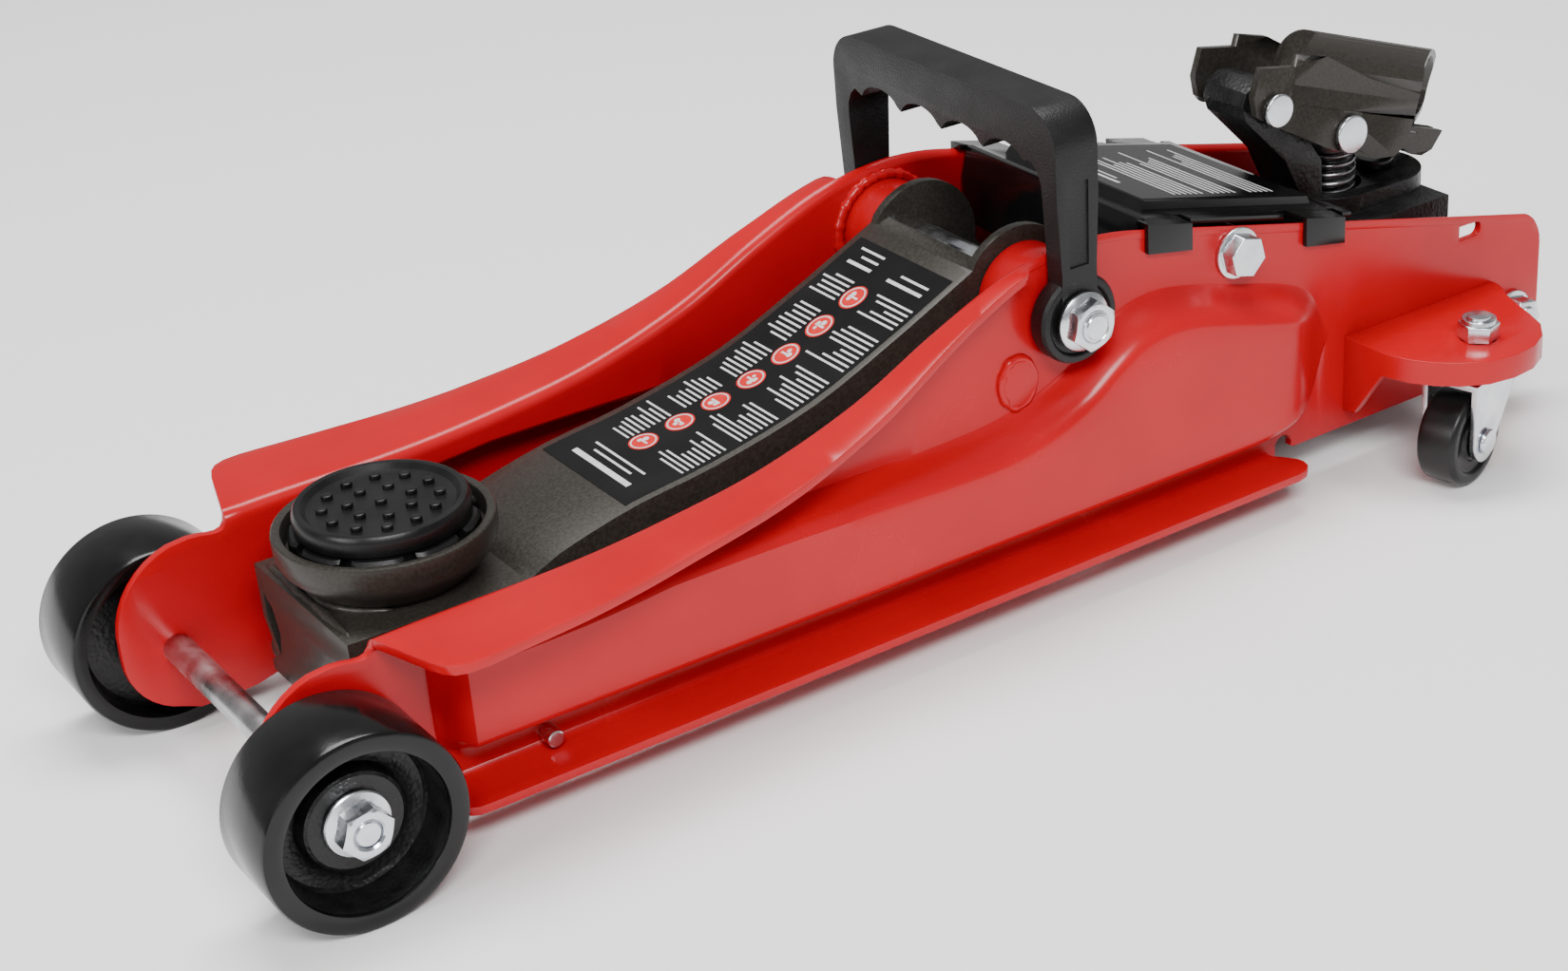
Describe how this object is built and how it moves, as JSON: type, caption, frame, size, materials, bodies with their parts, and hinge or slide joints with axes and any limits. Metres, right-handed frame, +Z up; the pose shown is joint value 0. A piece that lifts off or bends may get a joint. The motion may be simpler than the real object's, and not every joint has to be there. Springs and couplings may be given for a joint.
{
  "type": "car jack",
  "caption": "Low-profile hydraulic trolley jack: wheeled steel frame, hinged lift arm with level swivel saddle, ram and pump, folding carry handle and tilting handle socket.",
  "frame": {"origin": "bottom centre of the whole jack: on the ground, on the middle plane, half way along its length", "axes": "+X along the jack towards the handle socket and casters, -Y is its right-hand side, +Z up"},
  "size_m": [0.5699, 0.217, 0.177],
  "materials": {
    "red": "gloss",
    "grey": "satin",
    "black_paint": "gloss",
    "cast": "rough painted",
    "zinc": "zinc plated",
    "steel": "machined",
    "grip": "textured",
    "roller": "satin"
  },
  "bodies": {
    "chassis": {"side_plate_right": "red", "side_plate_left": "red", "front_axle": "steel", "axle_washers": "zinc", "axle_nuts": "zinc", "front_tie_rod": "steel", "pivot_shaft": "steel", "pivot_collars": "red", "handle_nuts": "zinc", "link_anchors": "red", "cover_tie_bolt": "zinc", "rear_tie_bolt": "zinc", "cover_plate": "black_paint", "caster_bracket_right": "red", "caster_bracket_left": "red", "ram_cylinder": "steel", "reservoir": "black_paint", "pump_block": "cast", "socket_pivot_pin": "zinc", "filler_plug": "roller"},
    "wheel_right": {"front_wheel_right": "cast"},
    "wheel_left": {"front_wheel_left": "cast"},
    "arm": {"lift_arm": "grey", "lever_pin": "steel", "lever_roller": "steel", "arm_front_pin": "steel"},
    "bracket": {"saddle_bracket": "grey", "saddle_cup": "grey"},
    "saddle": {"saddle_pad": "black_paint"},
    "links": {"level_link_right": "grey", "level_link_left": "grey", "link_front_pin": "steel"},
    "ram": {"ram_rod": "steel", "crosshead": "grey", "return_springs": "steel"},
    "grip": {"carry_handle": "grip"},
    "socket": {"handle_socket": "grey", "socket_drive_pin": "zinc"},
    "plunger": {"pump_plunger": "steel", "pump_spring": "steel"},
    "valve": {"release_valve": "steel"},
    "fork_right": {"caster_fork_right": "zinc", "caster_axle_right": "zinc", "caster_nut_right": "zinc"},
    "fork_left": {"caster_fork_left": "zinc", "caster_axle_left": "zinc", "caster_nut_left": "zinc"},
    "caster_right": {"caster_wheel_right": "roller"},
    "caster_left": {"caster_wheel_left": "roller"}
  },
  "joints": [
    {"name": "front_wheel_right_spin", "type": "hinge", "parent": "chassis", "child": "wheel_right", "pos_m": [-0.25195, -0.074, 0.033], "axis": [0, 1, 0], "continuous": true},
    {"name": "front_wheel_left_spin", "type": "hinge", "parent": "chassis", "child": "wheel_left", "pos_m": [-0.25195, 0.074, 0.033], "axis": [0, 1, 0], "continuous": true},
    {"name": "lift_arm_raise", "type": "hinge", "parent": "chassis", "child": "arm", "pos_m": [0.03505, 0, 0.1025], "axis": [0, 1, 0], "range_deg": [0, 79]},
    {"name": "saddle_level", "type": "hinge", "parent": "arm", "child": "bracket", "pos_m": [-0.19595, 0, 0.047], "axis": [0, 1, 0], "range_deg": [-79.5, 0.5]},
    {"name": "saddle_swivel", "type": "hinge", "parent": "bracket", "child": "saddle", "pos_m": [-0.19595, 0, 0.07], "axis": [0, 0, 1], "continuous": true},
    {"name": "level_link_swing", "type": "hinge", "parent": "chassis", "child": "links", "pos_m": [0.01405, 0, 0.0825], "axis": [0, 1, 0], "range_deg": [-0.5, 79.5]},
    {"name": "ram_extend", "type": "slide", "parent": "chassis", "child": "ram", "axis": [-1, 0, 0], "range_m": [-0.0005, 0.06156], "deforming": ["return_springs"]},
    {"name": "carry_handle_fold", "type": "hinge", "parent": "chassis", "child": "grip", "pos_m": [0.03505, 0, 0.1025], "axis": [0, 1, 0], "range_deg": [-20, 45]},
    {"name": "pump_handle_stroke", "type": "hinge", "parent": "chassis", "child": "socket", "pos_m": [0.16505, 0, 0.1334], "axis": [0, -1, 0], "range_deg": [0, 42]},
    {"name": "pump_plunger_stroke", "type": "slide", "parent": "chassis", "child": "plunger", "axis": [0, 0, 1], "range_m": [-0.0005, 0.03078], "deforming": ["pump_spring"]},
    {"name": "release_valve_turn", "type": "hinge", "parent": "chassis", "child": "valve", "pos_m": [0.25305, 0, 0.056], "axis": [1, 0, 0], "range_deg": [0, 180]},
    {"name": "caster_right_swivel", "type": "hinge", "parent": "chassis", "child": "fork_right", "pos_m": [0.20305, -0.0885, 0.048], "axis": [0, 0, 1], "continuous": true},
    {"name": "caster_left_swivel", "type": "hinge", "parent": "chassis", "child": "fork_left", "pos_m": [0.20305, 0.0885, 0.048], "axis": [0, 0, 1], "continuous": true},
    {"name": "caster_right_spin", "type": "hinge", "parent": "fork_right", "child": "caster_right", "pos_m": [0.19146, -0.09161, 0.0185], "axis": [-0.2588, 0.9659, 0], "continuous": true},
    {"name": "caster_left_spin", "type": "hinge", "parent": "fork_left", "child": "caster_left", "pos_m": [0.19146, 0.09161, 0.0185], "axis": [0.2588, 0.9659, 0], "continuous": true}
  ],
  "couplings": [
    {"joint": "saddle_level", "follows": "lift_arm_raise", "ratio": -1},
    {"joint": "level_link_swing", "follows": "lift_arm_raise", "ratio": 1},
    {"joint": "ram_extend", "follows": "lift_arm_raise", "m_per_rad": 0.044287},
    {"joint": "pump_plunger_stroke", "follows": "pump_handle_stroke", "m_per_rad": 0.04131}
  ]
}
